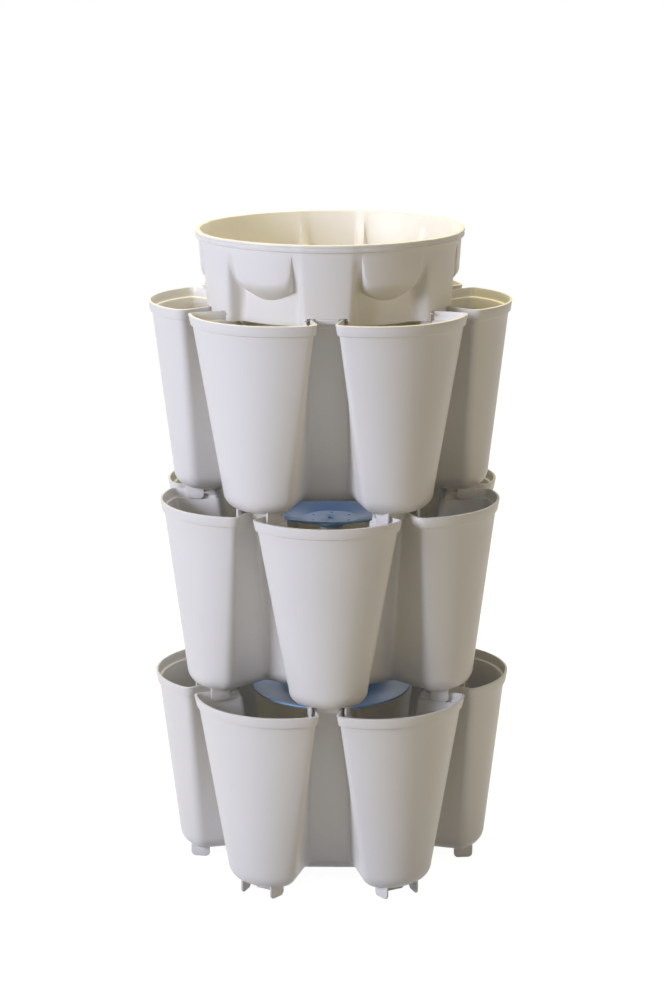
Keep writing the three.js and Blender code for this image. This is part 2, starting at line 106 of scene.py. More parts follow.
# Watering disk, from its flat underside
DISK_DROP = 22 * MM
DISK_RADIUS = 104 * MM
DISK_FLAT_RADIUS = 36 * MM
DISH_DEPTH = 20 * MM
DISK_WALL = 2.5 * MM
SOCKET_DEPTH = 8 * MM
SOCKET_WALL = 2.5 * MM
SOCKET_CLEARANCE = 0.5 * MM
WEEP_RADIUS = 2 * MM
WEEP_CIRCLE = 27 * MM
COLUMN_HEIGHT = TIER_HEIGHT - DISK_DROP - DISH_DEPTH - DISK_WALL - SEAT_GAP

# Reservoir, from the rim of the tier below
BOWL_HEIGHT = 92 * MM
BOWL_WALL = 3 * MM
BOWL_FOOT_CHAMFER = 0.6 * MM
PEDESTAL_RADIUS = 117 * MM
PEDESTAL_DROP = 32 * MM
PEDESTAL_ROUND = 9 * MM
PEDESTAL_FLOOR_SHARES = (0, 0.3, 0.6)
DRIP_RADIUS = 2.5 * MM
DRIP_CIRCLE = 45 * MM

# The reservoir's lobes, and the panels in the recesses between them
LOBE_TOP_RADIUS = 170 * MM
LOBE_FOOT_RADIUS = 164 * MM
LOBE_HALF_WIDTH = 32 * MM
LOBE_WIDENING = 4 * MM
LOBE_ROOT_SPREAD = 2 * MM
LOBE_CORNER_CUT = 7 * MM
LOBE_SIDE_SHARE = 0.4
PANEL_RADIUS = 146 * MM
RECESS_TOP_DEPTH = 1.5 * MM
RECESS_CROWDING = 1.4
STEP_DEPTH = 10 * MM
GENTLE_REACH = 8 * MM

# The bulges over the panels, in the middle of a recess and at its ends beside the lobes
BULGE_FOOT = 18 * MM
BULGE_KNEE = 31 * MM
BULGE_TOP = 41 * MM
END_FOOT = 30 * MM
END_KNEE = 45 * MM
END_TOP = 79 * MM
END_KNEE_SHARE = 0.22
END_SHARPNESS = 16
FOOT_POWER = 2

# The bead round the reservoir's rim: two rolls with a groove between them. A sag is how far
# the middle of a rounded edge stays inside its corner.
BEAD_DEPTH = 9.3 * MM
BEAD_PROUD = 3.6 * MM
BEAD_GROOVE = 0.9 * MM
GROOVE_SLOPE = 0.7 * MM
LOWER_ROLL = 2.2 * MM
UPPER_ROLL = 2.8 * MM
EDGE_ROUND = 1 * MM
EDGE_SAG = 0.3 * MM
RIM_ROUND = 1.6 * MM
RIM_SAG = 0.5 * MM

# The tongues and skirts under the lobes
TONGUE_HALF_WIDTH = 14.5 * MM
TONGUE_DROP = 6 * MM
TONGUE_WALL = 4 * MM
TONGUE_ROUND = 4 * MM
SKIRT_DROP = 12 * MM
SKIRT_WALL = 3 * MM
SKIRT_INSET = 0.05 * MM

# Edges: the turn from which one is softened, and how wide; the turn from which one shows
WALL_EDGE_TURN = radians(40)
WALL_EDGE_WIDTH = 0.6 * MM
PLATE_EDGE_TURN = radians(50)
PLATE_EDGE_SHARE = 0.3
EDGE_SEGMENTS = 2
DISK_EDGE_TURN = radians(12)
DISK_EDGE_WIDTH = 0.7 * MM
DISK_EDGE_SEGMENTS = 3
CREASE_TURN = radians(35)

# Steps of the smooth mouldings
ARC_STEPS = 12
CORNER_STEPS = 7
FLANK_STEPS = 5
VALLEY_STEPS = 5
BACK_STEPS = 3
WALL_STEPS = 12
ROUND_STEPS = 8
HUB_STEPS = 4
LEG_ROUND_STEPS = 6
LEG_TOP_STEPS = 12
WEB_TOP_STEPS = 16
TONGUE_STEPS = 5
LOBE_STEPS = 5
SIDE_STEPS = 7
RECESS_STEPS = 16
BULGE_STEPS = 12
PEDESTAL_STEPS = 6
DISK_STEPS = 96
HOLE_SIDES = 24

# Mesh making
DRILL_OVERSHOOT = 1 * MM
WELD_DISTANCE = MM / 20
FINE_WELD_DISTANCE = MM / 100

# Camera that took the photograph, in its 667 by 1000 frame
CAMERA_DISTANCE = 3.1875
CAMERA_HEIGHT = 1.26568
CAMERA_OFFSET = 0.00339
CAMERA_SWING = 0.02253
CAMERA_DIP = 0.239427
CAMERA_ROLL = -0.00322
FOCAL_PIXELS = 2506.79
PHOTO_HEIGHT = 1000
SENSOR = 36  # millimetres along the longer side, as the lens is given

# Finishes: colours, noise scales per metre, and what the noises add
STONE_DEEP = (0.80, 0.775, 0.72, 1)
STONE_PALE = (0.84, 0.82, 0.775, 1)
STONE_CLOUDS = 9
STONE_GRAIN = 1400
STONE_SWELL = 28
STONE_GRAIN_HEIGHT = 0.35
STONE_BUMP = {"Strength": 0.08, "Distance": 0.4 * MM}
STONE_ROUGHNESS = 0.34
STONE_CLOUD_ROUGHNESS = 0.1
STONE_GRAIN_ROUGHNESS = 0.06
BLUE_DEEP = (0.25, 0.47, 0.76, 1)
BLUE_PALE = (0.31, 0.53, 0.82, 1)
BLUE_CLOUDS = 16
BLUE_GRAIN = 900
BLUE_BUMP = {"Strength": 0.06, "Distance": 0.3 * MM}
BLUE_ROUGHNESS = 0.22
BLUE_CLOUD_ROUGHNESS = 0.08
BLUE_SPECULAR = 0.3

# Studio
WHITE = (1, 1, 1, 1)
FLOOR_REACH = 12
FLOOR_PAINT = (0.45, 0.45, 0.45, 1)
FLOOR_SHADE = (0.3, 0.3, 0.3, 1)
FLOOR_GLOW = 0.95
AMBIENT_COLOUR = (0.92, 0.95, 1.0, 1)
AMBIENT_STRENGTH = 0.17
SOFTBOXES = (
    {"name": "key", "place": (-2.95, -2.2, 1.7), "aim": (0, 0, 0.45), "size": (1.2, 1.4),
     "watts": 112, "colour": (0.77, 0.80, 1.0)},
    {"name": "side", "place": (2.8, -1.6, 1.1), "aim": (0, 0, 0.4), "size": (1.2, 1.8),
     "watts": 12, "colour": (1.0, 0.74, 0.38)},
    {"name": "top", "place": (-0.2, 0.3, 2.9), "aim": (0, 0, 0.5), "size": (1.2, 1.2),
     "watts": 48, "colour": (1, 0.87, 0.48)},
)


# Outlines. A half outline runs from the middle of a pocket or lobe, across in x and
# outwards in y, to the middle of the valley or recess beside it.

def lerp(low, high, share):
    return low + (high - low) * share


def polar(radius, turn):
    """The point at a radius, turned away from straight outwards."""
    return Vector((radius * sin(turn), radius * cos(turn)))


def towards(start, end, distance):
    return start + (end - start).normalized() * distance


def bent(start, corner, end, steps):
    """Points of the smooth bend from start to end that the corner pulls outwards."""
    points = []
    for step in range(steps + 1):
        share = step / steps
        first = start.lerp(corner, share)
        points.append(first.lerp(corner.lerp(end, share), share))
    return points


def beside_valley(across, along):
    """The point at a distance across and along the middle line of a valley."""
    return Vector((
        along * sin(HALF_PITCH) - across * cos(HALF_PITCH),
        along * cos(HALF_PITCH) + across * sin(HALF_PITCH),
    ))


def grown(points, distance):
    """A half outline moved outwards, square to its sides. It stays on its two mirror lines."""
    moved = []
    for index, point in enumerate(points):
        before = points[index - 1] if index else Vector((-points[1].x, points[1].y))
        if index + 1 < len(points):
            after = points[index + 1]
        else:
            axis = polar(1, HALF_PITCH)
            after = 2 * axis * before.dot(axis) - before
        first = (point - before).normalized()
        second = (after - point).normalized()
        normal = Vector((-first.y - second.y, first.x + second.x)).normalized()
        lean = normal.dot(Vector((-first.y, first.x)))
        moved.append(point + normal * (distance / lean))
    return moved


def tier_sizes(height):
    """The measures of a tier's outline at a height. Below the rounding they don't change."""
    share = (max(height, BOTTOM_ROUND) - BOTTOM_ROUND) / (TIER_HEIGHT - BOTTOM_ROUND)
    return {name: lerp(FOOT_OUTLINE[name], RIM_OUTLINE[name], share) for name in RIM_OUTLINE}


def along_valley(point):
    """How far a point lies along the middle line of a valley."""
    return point.x * sin(HALF_PITCH) + point.y * cos(HALF_PITCH)


def tier_half(height, inset, distance):
    """One half of a pocket's outline at a height, moved in by an inset that keeps its corners
    round, then outwards by a distance."""
    size = tier_sizes(height)
    radius = size["front_radius"] - inset
    arc_middle = Vector((0, size["front"] - size["front_radius"]))
    first_turn = asin(size["half_width"] / size["front_radius"])
    first_corner = arc_middle + polar(size["front_radius"], first_turn)
    first_valley = beside_valley(size["valley_half_width"], size["valley_radius"])
    heading = (first_valley - first_corner).normalized()
    flank = first_corner + Vector((heading.y, -heading.x)) * inset
    reach = flank - arc_middle
    inwards = reach.dot(heading)
    corner = flank - heading * (inwards + sqrt(inwards ** 2 - reach.length_squared + radius ** 2))
    valley_radius = size["valley_radius"] - inset
    way = (valley_radius - along_valley(flank)) / along_valley(heading)
    valley_corner = flank + heading * way
    valley_middle = beside_valley(0, valley_radius)
    corner_cut = size["corner_cut"] * lerp(1, FLOOR_CORNER_SHARE, inset / BOTTOM_ROUND)
    arc_end = atan2(corner.x, corner.y - arc_middle.y) - corner_cut / radius
    flank_start = towards(corner, valley_corner, corner_cut)
    flank_end = towards(valley_corner, corner, size["valley_cut"])
    back_start = towards(valley_corner, valley_middle, size["valley_cut"])
    points = [arc_middle + polar(radius, arc_end * step / ARC_STEPS) for step in range(ARC_STEPS)]
    points += bent(arc_middle + polar(radius, arc_end), corner, flank_start, CORNER_STEPS)
    for step in range(1, FLANK_STEPS):
        points.append(flank_start.lerp(flank_end, step / FLANK_STEPS))
    points += bent(flank_end, valley_corner, back_start, VALLEY_STEPS)
    for step in range(1, BACK_STEPS + 1):
        points.append(back_start.lerp(valley_middle, step / BACK_STEPS))
    return grown(points, distance)


def row(points, height):
    return [Vector((point.x, point.y, height)) for point in points]


def tier_row(height, inset, distance):
    return row(tier_half(height, inset, distance), height)


# Mesh making

def skin_rows(bm, rows):
    """A sheet through rows of equally many points, made by drawing the first one out."""
    verts = [bm.verts.new(point) for point in rows[0]]
    edges = [bm.edges.new(pair) for pair in zip(verts, verts[1:])]
    for points in rows[1:]:
        drawn = bmesh.ops.extrude_edge_only(bm, edges=edges)["geom"]
        fresh = {item for item in drawn if isinstance(item, bmesh.types.BMVert)}
        lifted = []
        for vert in verts:
            ends = [edge.other_vert(vert) for edge in vert.link_edges]
            lifted.append(next(end for end in ends if end in fresh))
        for vert, point in zip(lifted, points):
            vert.co = point
        edges = [bm.edges.get(pair) for pair in zip(lifted, lifted[1:])]
        verts = lifted


def whole_from_half(bm):
    """Mirrors a half pocket, turns it to look to the front and repeats it round the axis."""
    half = bm.verts[:] + bm.edges[:] + bm.faces[:]
    bmesh.ops.mirror(bm, geom=half, axis="X", merge_dist=FINE_WELD_DISTANCE)
    bmesh.ops.rotate(bm, verts=bm.verts[:], cent=(0, 0, 0), matrix=Matrix.Rotation(pi, 3, "Z"))
    bmesh.ops.spin(
        bm, geom=bm.verts[:] + bm.edges[:] + bm.faces[:], cent=(0, 0, 0), axis=(0, 0, 1),
        angle=PITCH * (POCKETS - 1), steps=POCKETS - 1, use_duplicate=True,
    )
    bmesh.ops.remove_doubles(bm, verts=bm.verts[:], dist=WELD_DISTANCE)
    bmesh.ops.recalc_face_normals(bm, faces=bm.faces[:])


def face_outwards(bm, probe):
    """Turns the whole sheet over if its face nearest to the probe looks away from it."""
    nearest = min(bm.faces, key=lambda face: (face.calc_center_median() - probe).length)
    if nearest.normal.dot(probe - nearest.calc_center_median()) < 0:
        bmesh.ops.reverse_faces(bm, faces=bm.faces[:])


def linked(name, data):
    """A new object of a mesh, lamp or camera, in the scene."""
    thing = bpy.data.objects.new(name, data)
    bpy.context.scene.collection.objects.link(thing)
    return thing


def object_of(name, bm, material=None):
    mesh = bpy.data.meshes.new(name)
    bm.to_mesh(mesh)
    bm.free()
    if material:
        mesh.materials.append(material)
    return linked(name, mesh)


def discard(piece):
    mesh = piece.data
    bpy.data.objects.remove(piece)
    bpy.data.meshes.remove(mesh)


def settled(piece):
    """The piece's mesh with its modifiers worked in, as a new bmesh; the piece is removed."""
    graph = bpy.context.evaluated_depsgraph_get()
    bm = bmesh.new()
    bm.from_object(piece, graph)
    discard(piece)
    return bm


def thickened(bm, thickness):
    """The sheet with a wall behind it, on the side that its faces look away from."""
    sheet = object_of("sheet", bm)
    wall = sheet.modifiers.new("wall", "SOLIDIFY")
    wall.thickness = thickness
    wall.offset = -1
    wall.use_even_offset = True
    return settled(sheet)


def soften(bm, angle, width, segments):
    """Rounds every edge that turns by more than the angle."""
    sharp = [edge for edge in bm.edges if edge.is_manifold and edge.calc_face_angle(0) > angle]
    bmesh.ops.bevel(
        bm, geom=sharp, offset=width, offset_type="OFFSET", affect="EDGES", segments=segments,
        profile=0.5, material=-1, clamp_overlap=True,
    )


def smooth(bm, angle):
    for face in bm.faces:
        face.smooth = True
    for edge in bm.edges:
        edge.smooth = not edge.is_manifold or edge.calc_face_angle(0) < angle


def drawn_out(outline, way):
    """The body that a flat outline leaves behind when it is drawn along a way."""
    bm = bmesh.new()
    face = bm.faces.new([bm.verts.new(point) for point in outline])
    drawn = bmesh.ops.extrude_face_region(bm, geom=[face])["geom"]
    lifted = [item for item in drawn if isinstance(item, bmesh.types.BMVert)]
    bmesh.ops.translate(bm, verts=lifted, vec=way)
    bmesh.ops.recalc_face_normals(bm, faces=bm.faces[:])
    return bm


def plate(outline, thickness):
    """A flat plate from an outline in x and z, thick along y, its edges rounded."""
    bm = drawn_out([(x, -thickness / 2, z) for x, z in outline], (0, thickness, 0))
    soften(bm, PLATE_EDGE_TURN, thickness * PLATE_EDGE_SHARE, EDGE_SEGMENTS)
    return bm


def join(target, source, matrix):
    """Copies the source's geometry into the target, moved by the matrix."""
    mesh = bpy.data.meshes.new("part")
    moved = source.copy()
    bmesh.ops.transform(moved, matrix=matrix, verts=moved.verts[:])
    if matrix.determinant() < 0:
        bmesh.ops.reverse_faces(moved, faces=moved.faces[:])
    moved.to_mesh(mesh)
    moved.free()
    target.from_mesh(mesh)
    bpy.data.meshes.remove(mesh)


def drilled(bm, radius, circle, low, wall):
    """The body with six round holes on a circle, through a level wall from its low side up."""
    cutter = bmesh.new()
    drill = bmesh.new()
    bmesh.ops.create_cone(
        drill, cap_ends=True, segments=HOLE_SIDES, radius1=radius, radius2=radius,
        depth=wall + 2 * DRILL_OVERSHOOT,
    )
    for index in range(POCKETS):
        turn = index * PITCH
        place = (circle * sin(turn), -circle * cos(turn), low + wall / 2)
        join(cutter, drill, Matrix.Translation(place))
    drill.free()
    tool = object_of("drill", cutter)
    body = object_of("body", bm)
    cut = body.modifiers.new("holes", "BOOLEAN")
    cut.operation = "DIFFERENCE"
    cut.solver = "EXACT"
    cut.object = tool
    pierced = settled(body)
    discard(tool)
    return pierced


def repeat_round(target, source):
    """Puts a copy of a part made in a pocket's frame under every pocket."""
    for index in range(POCKETS):
        join(target, source, Matrix.Rotation(pi + index * PITCH, 4, "Z"))


# Tier

def valley_gap(along):
    """Half the width of a valley of the tier below, where the legs of the tier above end."""
    size = tier_sizes(TIER_PITCH - FOOT_DROP)
    arc_middle = size["front"] - size["front_radius"]
    arc_rise = sqrt(size["front_radius"] ** 2 - size["half_width"] ** 2)
    corner = Vector((size["half_width"], arc_middle + arc_rise))
    corner_across = corner.y * sin(HALF_PITCH) - corner.x * cos(HALF_PITCH)
    share = (along - size["valley_radius"]) / (along_valley(corner) - size["valley_radius"])
    return lerp(size["valley_half_width"], corner_across, share)


def leg_place(along):
    """How far from the middle of a valley the middle of a leg stands."""
    return valley_gap(along) + TIER_WALL + SIDE_CLEARANCE + FOOT_WALL / 2


def arc_points(middle_x, middle_z, radius, start, end, steps):
    """Points in x and z along an arc from one turn to another."""
    points = []
    for step in range(steps + 1):
        turn = lerp(start, end, step / steps)
        points.append((middle_x + radius * cos(turn), middle_z + radius * sin(turn)))
    return points


def foot_top(point):
    """Height of the tops of the feet at a point: inside the wall of the rounded floor."""
    half = tier_half(BOTTOM_ROUND, 0, 0)
    place = Vector((abs(point.x), point.y))
    inset = BOTTOM_ROUND
    for start, end in zip(half, half[1:]):
        nearest, share = intersect_point_line(place, start, end)
        if 0 <= share <= 1:
            inset = min(inset, (nearest - place).length)
    lean = 1 - inset / BOTTOM_ROUND
    return BOTTOM_ROUND * (1 - sqrt(1 - lean * lean)) + TIER_WALL / 2


def foot():
    """The two legs that straddle a valley of the tier below and the web between them, which
    rests on the valley's rim and hangs a tongue into its mouth."""
    bm = bmesh.new()
    start = Vector((leg_place(WEB_PLACE), WEB_PLACE - FOOT_WALL))
    end = Vector((leg_place(LEG_REACH), LEG_REACH))
    length = (end - start).length
    low = LEG_ROUND - FOOT_DROP
    shares = [step / LEG_TOP_STEPS for step in range(LEG_TOP_STEPS + 1)]
    leg = plate([
        *arc_points(LEG_ROUND, low, LEG_ROUND, pi, 3 * pi / 2, LEG_ROUND_STEPS),
        *arc_points(length - LEG_ROUND, low, LEG_ROUND, -pi / 2, 0, LEG_ROUND_STEPS),
        *[(length * share, foot_top(start.lerp(end, share))) for share in reversed(shares)],
    ], FOOT_WALL)
    heading = atan2(end.y - start.y, end.x - start.x)
    place = Matrix.Translation((start.x, start.y, 0)) @ Matrix.Rotation(heading, 4, "Z")
    join(bm, leg, place)
    join(bm, leg, Matrix.Scale(-1, 4, (1, 0, 0)) @ place)
    half_width = leg_place(WEB_PLACE)
    root = Vector((WEB_TONGUE_HALF_WIDTH, -SEAT_DROP))
    tip = Vector((WEB_TONGUE_HALF_WIDTH - WEB_TONGUE_LEAN, -WEB_TONGUE_DROP))
    middle = Vector((0, -WEB_TONGUE_DROP))
    bend_start = towards(tip, middle, WEB_TONGUE_LEAN)
    bend_end = towards(tip, root, WEB_TONGUE_LEAN)
    side = [*bent(bend_start, tip, bend_end, TONGUE_STEPS), root]
    top = [lerp(half_width, -half_width, step / WEB_TOP_STEPS) for step in range(WEB_TOP_STEPS + 1)]
    web = plate([
        (-half_width, -SEAT_DROP), *[(-x, z) for x, z in reversed(side)],
        *[(x, z) for x, z in side], (half_width, -SEAT_DROP),
        *[(across, foot_top(Vector((across, WEB_PLACE)))) for across in top],
    ], FOOT_WALL)
    join(bm, web, Matrix.Translation((0, WEB_PLACE, 0)))
    leg.free()
    web.free()
    return bm


def floor_hub(edge):
    """A row of the floor inside the throats where the pockets open into its middle. Under a
    pocket it is narrower than the throat, so that the floor runs out through it."""
    throat = ARC_STEPS + CORNER_STEPS + FLANK_STEPS
    hub = []
    for index in range(len(edge)):
        place = edge[max(index, throat)] * HUB_SHARE
        if index <= throat:
            place.x *= THROAT_SHARE * index / throat
        hub.append(Vector((place.x, place.y, HUB_RISE)))
    return hub


def tier_sheet():
    """The outside of a tier, from its rim down, under its floor and up the column's bore."""
    rows = [
        tier_row(TIER_HEIGHT, 0, BAND_PROUD + BAND_FLARE),
        tier_row(lerp(TIER_HEIGHT, WALL_TOP, 0.5), 0, BAND_PROUD + BAND_FLARE / 2),
        tier_row(WALL_TOP + BAND_STEP, 0, BAND_PROUD),
        tier_row(WALL_TOP, 0, 0),
    ]
    for step in range(1, WALL_STEPS + 1):
        rows.append(tier_row(lerp(WALL_TOP, BOTTOM_ROUND, step / WALL_STEPS), 0, 0))
    for step in range(1, ROUND_STEPS + 1):
        turn = pi / 2 * step / ROUND_STEPS
        height = BOTTOM_ROUND * (1 - sin(turn))
        rows.append(tier_row(height, BOTTOM_ROUND * (1 - cos(turn)), 0))
    edge = rows[-1]
    hub = floor_hub(edge)
    for step in range(1, HUB_STEPS + 1):
        way = step / HUB_STEPS
        rows.append([start.lerp(end, way) for start, end in zip(edge, hub)])
    bore_top = COLUMN_HEIGHT - TIER_WALL
    for radius, height in (
        (COLUMN_FOOT_RADIUS - TIER_WALL, FLOOR_RISE),
        (COLUMN_TOP_RADIUS - TIER_WALL, bore_top),
        (COLUMN_HOLE_RADIUS, bore_top),
    ):
        rows.append([Vector((*(point.xy.normalized() * radius), height)) for point in hub])
    bm = bmesh.new()
    skin_rows(bm, rows)
    whole_from_half(bm)
    face_outwards(bm, Vector((0, 0, -1)))
    return bm


def tier_mesh():
    bm = thickened(tier_sheet(), TIER_WALL)
    soften(bm, WALL_EDGE_TURN, WALL_EDGE_WIDTH, EDGE_SEGMENTS)
    bm = drilled(bm, DRAIN_RADIUS, DRAIN_REACH, 0, TIER_WALL)
    feet = foot()
    repeat_round(bm, feet)
    feet.free()
    smooth(bm, CREASE_TURN)
    return bm


# Watering disk

def spun(profile, steps):
    """The body that a closed profile of radii and heights makes round the axis."""
    bm = bmesh.new()
    verts = [bm.verts.new((radius, 0, height)) for radius, height in profile]
    edges = [bm.edges.new(pair) for pair in zip(verts, verts[1:])]
    bmesh.ops.spin(
        bm, geom=verts + edges, cent=(0, 0, 0), axis=(0, 0, 1), angle=2 * pi, steps=steps,
        use_merge=True,
    )
    bmesh.ops.remove_doubles(bm, verts=bm.verts[:], dist=FINE_WELD_DISTANCE)
    bmesh.ops.recalc_face_normals(bm, faces=bm.faces[:])
    return bm


def disk_mesh():
    """The dish with its socket, which is wide enough for the column at the socket's foot."""
    lead = (COLUMN_FOOT_RADIUS - COLUMN_TOP_RADIUS) * SOCKET_DEPTH / COLUMN_HEIGHT
    socket = COLUMN_TOP_RADIUS + SOCKET_CLEARANCE + lead
    bm = spun([
        (COLUMN_HOLE_RADIUS, 0), (socket, 0), (socket, -SOCKET_DEPTH),
        (socket + SOCKET_WALL, -SOCKET_DEPTH), (socket + SOCKET_WALL, 0),
        (DISK_FLAT_RADIUS, 0), (DISK_RADIUS, DISH_DEPTH), (DISK_RADIUS, DISH_DEPTH + DISK_WALL),
        (DISK_FLAT_RADIUS, DISK_WALL), (COLUMN_HOLE_RADIUS, DISK_WALL), (COLUMN_HOLE_RADIUS, 0),
    ], DISK_STEPS)
    soften(bm, DISK_EDGE_TURN, DISK_EDGE_WIDTH, DISK_EDGE_SEGMENTS)
    bm = drilled(bm, WEEP_RADIUS, WEEP_CIRCLE, 0, DISK_WALL)
    smooth(bm, CREASE_TURN)
    return bm


# Reservoir

def lobe_radius(height):
    return lerp(LOBE_FOOT_RADIUS, LOBE_TOP_RADIUS, height / BOWL_HEIGHT)


def eased(share):
    """The share with a soft start and end, kept between 0 and 1."""
    share = min(1, max(0, share))
    return share * share * (3 - 2 * share)


def recess_way(step):
    """Shares of the way along the recess, closer together beside the lobe."""
    return (step / RECESS_STEPS) ** RECESS_CROWDING


def bowl_half(lobe, share):
    """Half of the outline of a lobe of some radius and the recess beside it, at a share of
    its full depth. Where the recess is shallow, the lobe's side is a wide and gentle step."""
    depth = lerp(RECESS_TOP_DEPTH, lobe - PANEL_RADIUS, share)
    recess = lobe - depth
    rise = (lobe - LOBE_FOOT_RADIUS) / (LOBE_TOP_RADIUS - LOBE_FOOT_RADIUS)
    half_width = LOBE_HALF_WIDTH + LOBE_WIDENING * rise
    root_half_width = half_width + LOBE_ROOT_SPREAD * depth / (lobe - PANEL_RADIUS)
    lobe_turn = asin(half_width / lobe)
    recess_turn = asin(root_half_width / recess)
    outer = polar(lobe, lobe_turn)
    inner = polar(recess, recess_turn)
    side = min(LOBE_CORNER_CUT, (outer - inner).length * LOBE_SIDE_SHARE)
    steepness = eased((depth - RECESS_TOP_DEPTH) / STEP_DEPTH)
    reach = lerp(GENTLE_REACH, LOBE_CORNER_CUT, steepness)
    outer_turn = lobe_turn - reach / lobe
    inner_turn = recess_turn + reach / recess
    deep = bent(polar(lobe, outer_turn), outer, towards(outer, inner, side), SIDE_STEPS)
    deep += bent(towards(inner, outer, side), inner, polar(recess, inner_turn), SIDE_STEPS)
    points = [polar(lobe, outer_turn * step / LOBE_STEPS) for step in range(LOBE_STEPS)]
    for index, point in enumerate(deep):
        way = index / (len(deep) - 1)
        gentle = polar(lerp(lobe, recess, eased(way)), lerp(outer_turn, inner_turn, way))
        points.append(gentle.lerp(point, steepness))
    for step in range(1, RECESS_STEPS + 1):
        points.append(polar(recess, lerp(inner_turn, HALF_PITCH, recess_way(step))))
    return points


def bowl_row(height, distance):
    """A level row of the bowl's wall, moved outwards, where the recess has its full depth."""
    return row(grown(bowl_half(lobe_radius(height), 1), distance), height)


def bead_row(height, distance):
    """A level row of the bead or rim, moved outwards from the axis."""
    points = bowl_half(lobe_radius(height), 0)
    return row([point * (1 + distance / point.length) for point in points], height)


def bulge_profile(way, climb):
    """Depth and height of the bulge at a share of the climb up it. It is a round bag in the
    middle of the recess, and slopes in beside the lobes, where its foot and top are higher."""
    low = (1 - way) ** FOOT_POWER
    high = (1 - way) / (1 + END_SHARPNESS * way)
    foot = Vector((1, lerp(BULGE_FOOT, END_FOOT, low)))
    knee = Vector((END_KNEE_SHARE * high, lerp(BULGE_KNEE, END_KNEE, high)))
    top = Vector((0, lerp(BULGE_TOP, END_TOP, high)))
    return foot.lerp(knee, climb).lerp(knee.lerp(top, climb), climb)


def bulge_row(climb, lift, distance):
    """A row of the wall at a share of the climb up the bulge."""
    root = LOBE_STEPS + 2 * SIDE_STEPS + 1
    placed = []
    for index in range(root + RECESS_STEPS + 1):
        depth, height = bulge_profile(recess_way(max(0, index - root)), climb)
        flat = grown(bowl_half(lobe_radius(height), depth), distance)[index]
        placed.append(Vector((flat.x, flat.y, height + lift)))
    return placed


def bead_profile():
    """Heights and distances from the bead's foot, over its rolls and the rim, to the inside."""
    low = BOWL_HEIGHT - BEAD_DEPTH
    groove = BEAD_PROUD - BEAD_GROOVE
    return (
        (low, 0),
        (low, BEAD_PROUD - EDGE_ROUND),
        (low + EDGE_SAG, BEAD_PROUD - EDGE_SAG),
        (low + EDGE_ROUND, BEAD_PROUD),
        (low + LOWER_ROLL, BEAD_PROUD),
        (low + LOWER_ROLL + GROOVE_SLOPE, groove),
        (BOWL_HEIGHT - UPPER_ROLL - GROOVE_SLOPE, groove),
        (BOWL_HEIGHT - UPPER_ROLL, BEAD_PROUD),
        (BOWL_HEIGHT - RIM_ROUND, BEAD_PROUD),
        (BOWL_HEIGHT - RIM_SAG, BEAD_PROUD - RIM_SAG),
        (BOWL_HEIGHT, BEAD_PROUD - RIM_ROUND),
        (BOWL_HEIGHT, EDGE_ROUND - BOWL_WALL),
        (BOWL_HEIGHT - EDGE_SAG, EDGE_SAG - BOWL_WALL),
        (BOWL_HEIGHT - EDGE_ROUND, -BOWL_WALL),
    )


def pedestal_row(height, radius):
    """A round row with as many points as the lobed ones, each in the same direction."""
    lobed = bowl_half(LOBE_FOOT_RADIUS, 1)
    return [Vector((*(point.normalized() * radius), height)) for point in lobed]


def pedestal_floor(radius, rounding, height):
    """Rows from the middle of the pedestal's floor out and up round its edge."""
    rows = [pedestal_row(height, radius * share) for share in PEDESTAL_FLOOR_SHARES]
    for step in range(PEDESTAL_STEPS + 1):
        turn = pi / 2 * step / PEDESTAL_STEPS
        climbed = height + rounding * (1 - cos(turn))
        rows.append(pedestal_row(climbed, radius - rounding * (1 - sin(turn))))
    return rows


def bowl_mesh():
    """The bowl's shell, from the middle of its underside over the rim to the middle inside."""
    climbs = [step / BULGE_STEPS for step in range(BULGE_STEPS + 1)]
    rows = pedestal_floor(PEDESTAL_RADIUS, PEDESTAL_ROUND, -PEDESTAL_DROP)
    rows.append(pedestal_row(SEAT_GAP, PEDESTAL_RADIUS))
    rows.append(bowl_row(SEAT_GAP, -BOWL_FOOT_CHAMFER))
    rows.append(bowl_row(SEAT_GAP + BOWL_FOOT_CHAMFER, 0))
    rows += [bulge_row(climb, 0, 0) for climb in climbs]
    rows += [bead_row(height, distance) for height, distance in bead_profile()]
    rows += [bulge_row(climb, BOWL_WALL * (1 - climb), -BOWL_WALL) for climb in reversed(climbs)]
    rows.append(bowl_row(SEAT_GAP + BOWL_WALL, -BOWL_WALL))
    well = PEDESTAL_RADIUS - BOWL_WALL
    rows.append(pedestal_row(SEAT_GAP + BOWL_WALL, well))
    inside = pedestal_floor(well, PEDESTAL_ROUND - BOWL_WALL, BOWL_WALL - PEDESTAL_DROP)
    rows += reversed(inside)
    bm = bmesh.new()
    skin_rows(bm, rows)
    whole_from_half(bm)
    bm = drilled(bm, DRIP_RADIUS, DRIP_CIRCLE, -PEDESTAL_DROP, BOWL_WALL)
    under = lobe_underside()
    repeat_round(bm, under)
    under.free()
    smooth(bm, CREASE_TURN)
    return bm


def skirt_side(distance):
    """The part of the lobe's outline beside a leg's place, moved inwards."""
    start = leg_place(LOBE_FOOT_RADIUS - SIDE_CLEARANCE - SKIRT_WALL) - FOOT_WALL / 2
    half = grown(bowl_half(LOBE_FOOT_RADIUS, 1), -distance)
    return [point for point in half if point.x > start]


